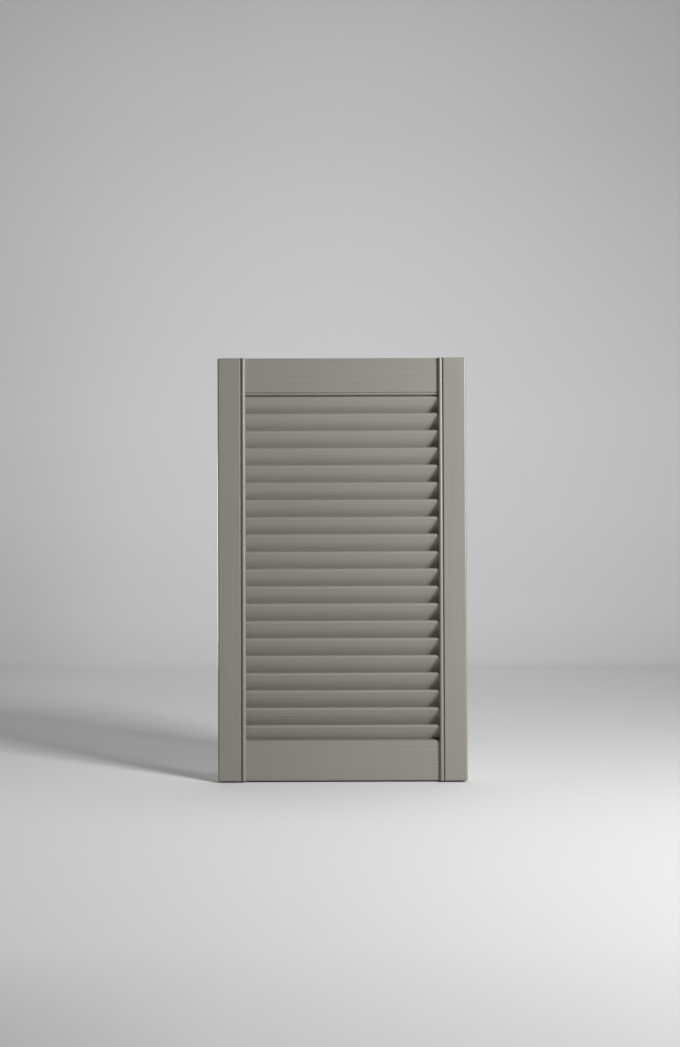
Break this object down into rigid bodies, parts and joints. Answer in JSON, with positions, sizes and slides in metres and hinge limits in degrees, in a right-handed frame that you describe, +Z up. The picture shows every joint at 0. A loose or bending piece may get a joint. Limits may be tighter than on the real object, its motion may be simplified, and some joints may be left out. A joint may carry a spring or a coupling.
{
  "type": "louvred shutter panel",
  "caption": "Painted wooden louvred shutter panel with beaded stiles, a plain top rail, a rounded bottom rail and fixed overlapping slats housed at an angle in the stiles.",
  "frame": {"origin": "middle of the bottom edge, halfway through the thickness", "axes": "+X to the right seen from the front, +Y towards the back, +Z up"},
  "size_m": [0.405, 0.028, 0.6884],
  "materials": {
    "frame_paint": "brushed satin paint, warm grey",
    "slat_paint": "sprayed satin paint, warm grey",
    "dowel_beech": "bare turned beech, inside the joints"
  },
  "bodies": {
    "root": {"left_stile": "frame_paint", "right_stile": "frame_paint", "top_rail": "frame_paint", "bottom_rail": "frame_paint", "slat_01": "slat_paint", "slat_02": "slat_paint", "slat_03": "slat_paint", "slat_04": "slat_paint", "slat_05": "slat_paint", "slat_06": "slat_paint", "slat_07": "slat_paint", "slat_08": "slat_paint", "slat_09": "slat_paint", "slat_10": "slat_paint", "slat_11": "slat_paint", "slat_12": "slat_paint", "slat_13": "slat_paint", "slat_14": "slat_paint", "slat_15": "slat_paint", "slat_16": "slat_paint", "slat_17": "slat_paint", "slat_18": "slat_paint", "slat_19": "slat_paint", "slat_20": "slat_paint", "top_left_dowel_lower": "dowel_beech", "top_left_dowel_upper": "dowel_beech", "top_right_dowel_lower": "dowel_beech", "top_right_dowel_upper": "dowel_beech", "bottom_left_dowel_lower": "dowel_beech", "bottom_left_dowel_upper": "dowel_beech", "bottom_right_dowel_lower": "dowel_beech", "bottom_right_dowel_upper": "dowel_beech"}
  },
  "joints": []
}
